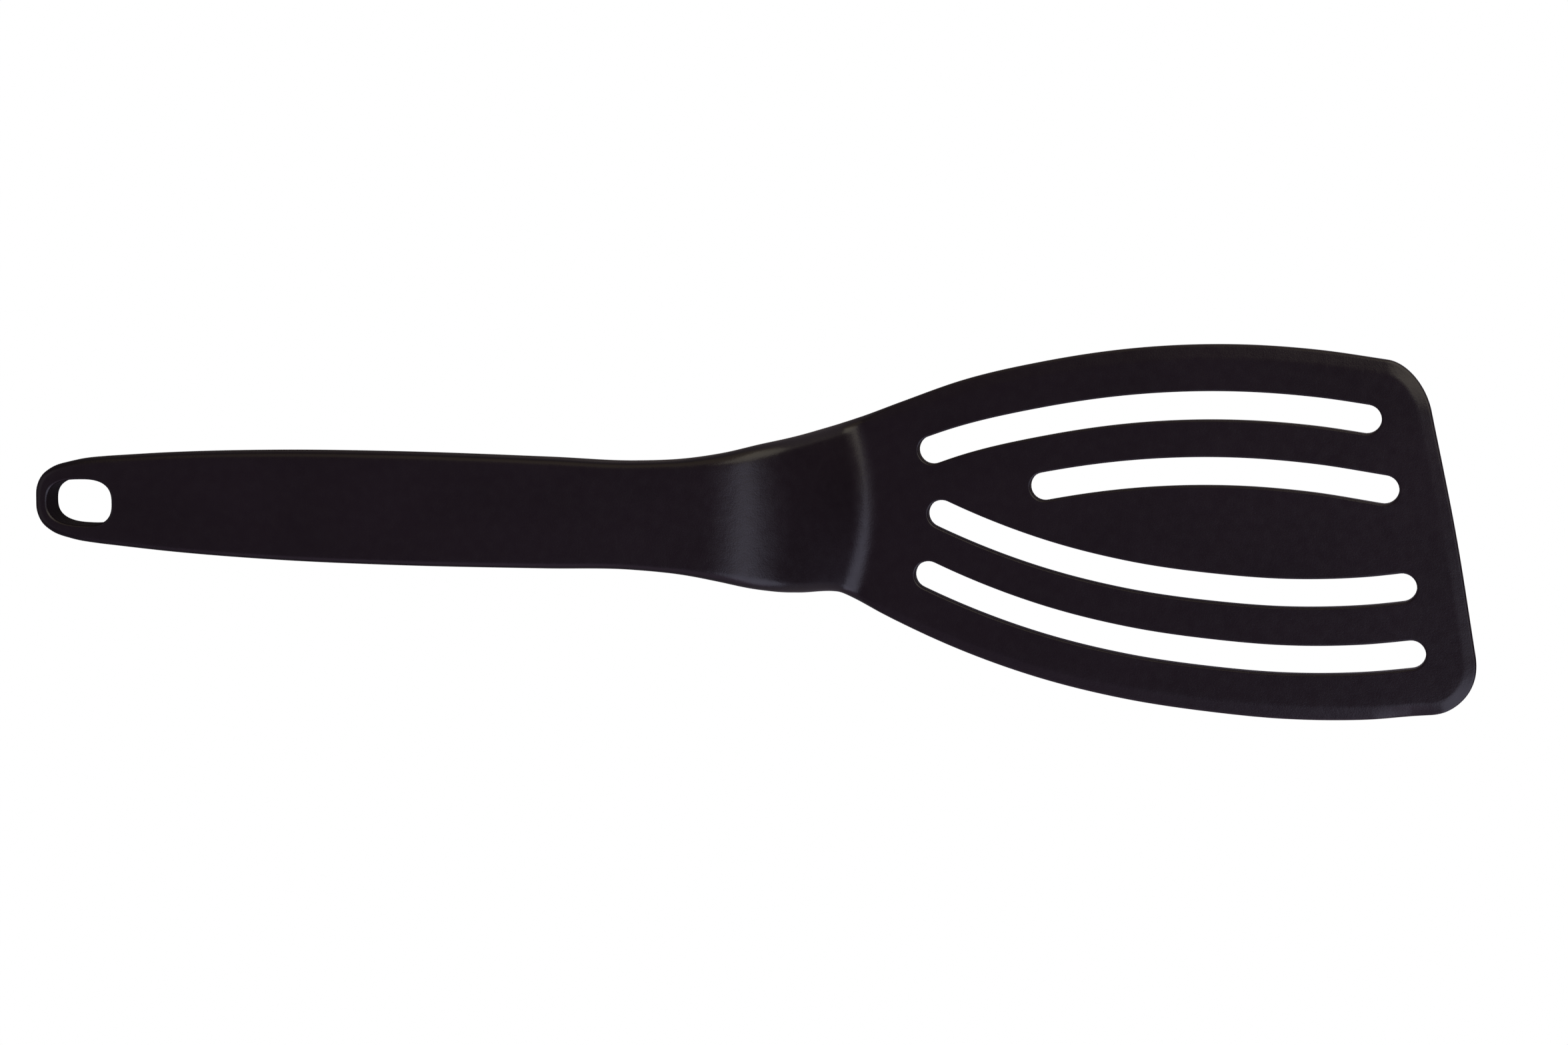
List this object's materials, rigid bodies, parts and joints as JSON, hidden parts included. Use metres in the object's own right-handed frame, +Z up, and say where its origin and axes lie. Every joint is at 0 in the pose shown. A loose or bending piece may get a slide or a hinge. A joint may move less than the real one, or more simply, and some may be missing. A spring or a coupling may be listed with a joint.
{
  "type": "slotted spatula",
  "caption": "Slotted turner with a dog-leg neck, a hanging hole and a slanted, bevelled front edge: a steel core and riveted handle inserts inside one seamless black overmoulded skin.",
  "frame": {"origin": "middle of the tool's bounding box in X and Y, on the surface it lies on", "axes": "+X along the tool from the hanging hole to the front edge, +Y towards the short corner of the slanted front edge, +Z up. The tool lies on the round of its heel and the lower edge of its handle's end, so the blade rises 12 degrees towards +X."},
  "size_m": [0.3218, 0.0828, 0.0317],
  "materials": {
    "black_skin": "matt moulded silicone with a fine even texture",
    "spring_steel": "rolled and stamped, unpolished",
    "insert_nylon": "natural glass-filled nylon",
    "rivet_steel": "plain"
  },
  "bodies": {
    "root": {"overmould_skin": "black_skin", "steel_core": "spring_steel", "handle_insert_upper": "insert_nylon", "handle_insert_lower": "insert_nylon", "tang_rivet_front": "rivet_steel", "tang_rivet_rear": "rivet_steel"}
  },
  "joints": []
}
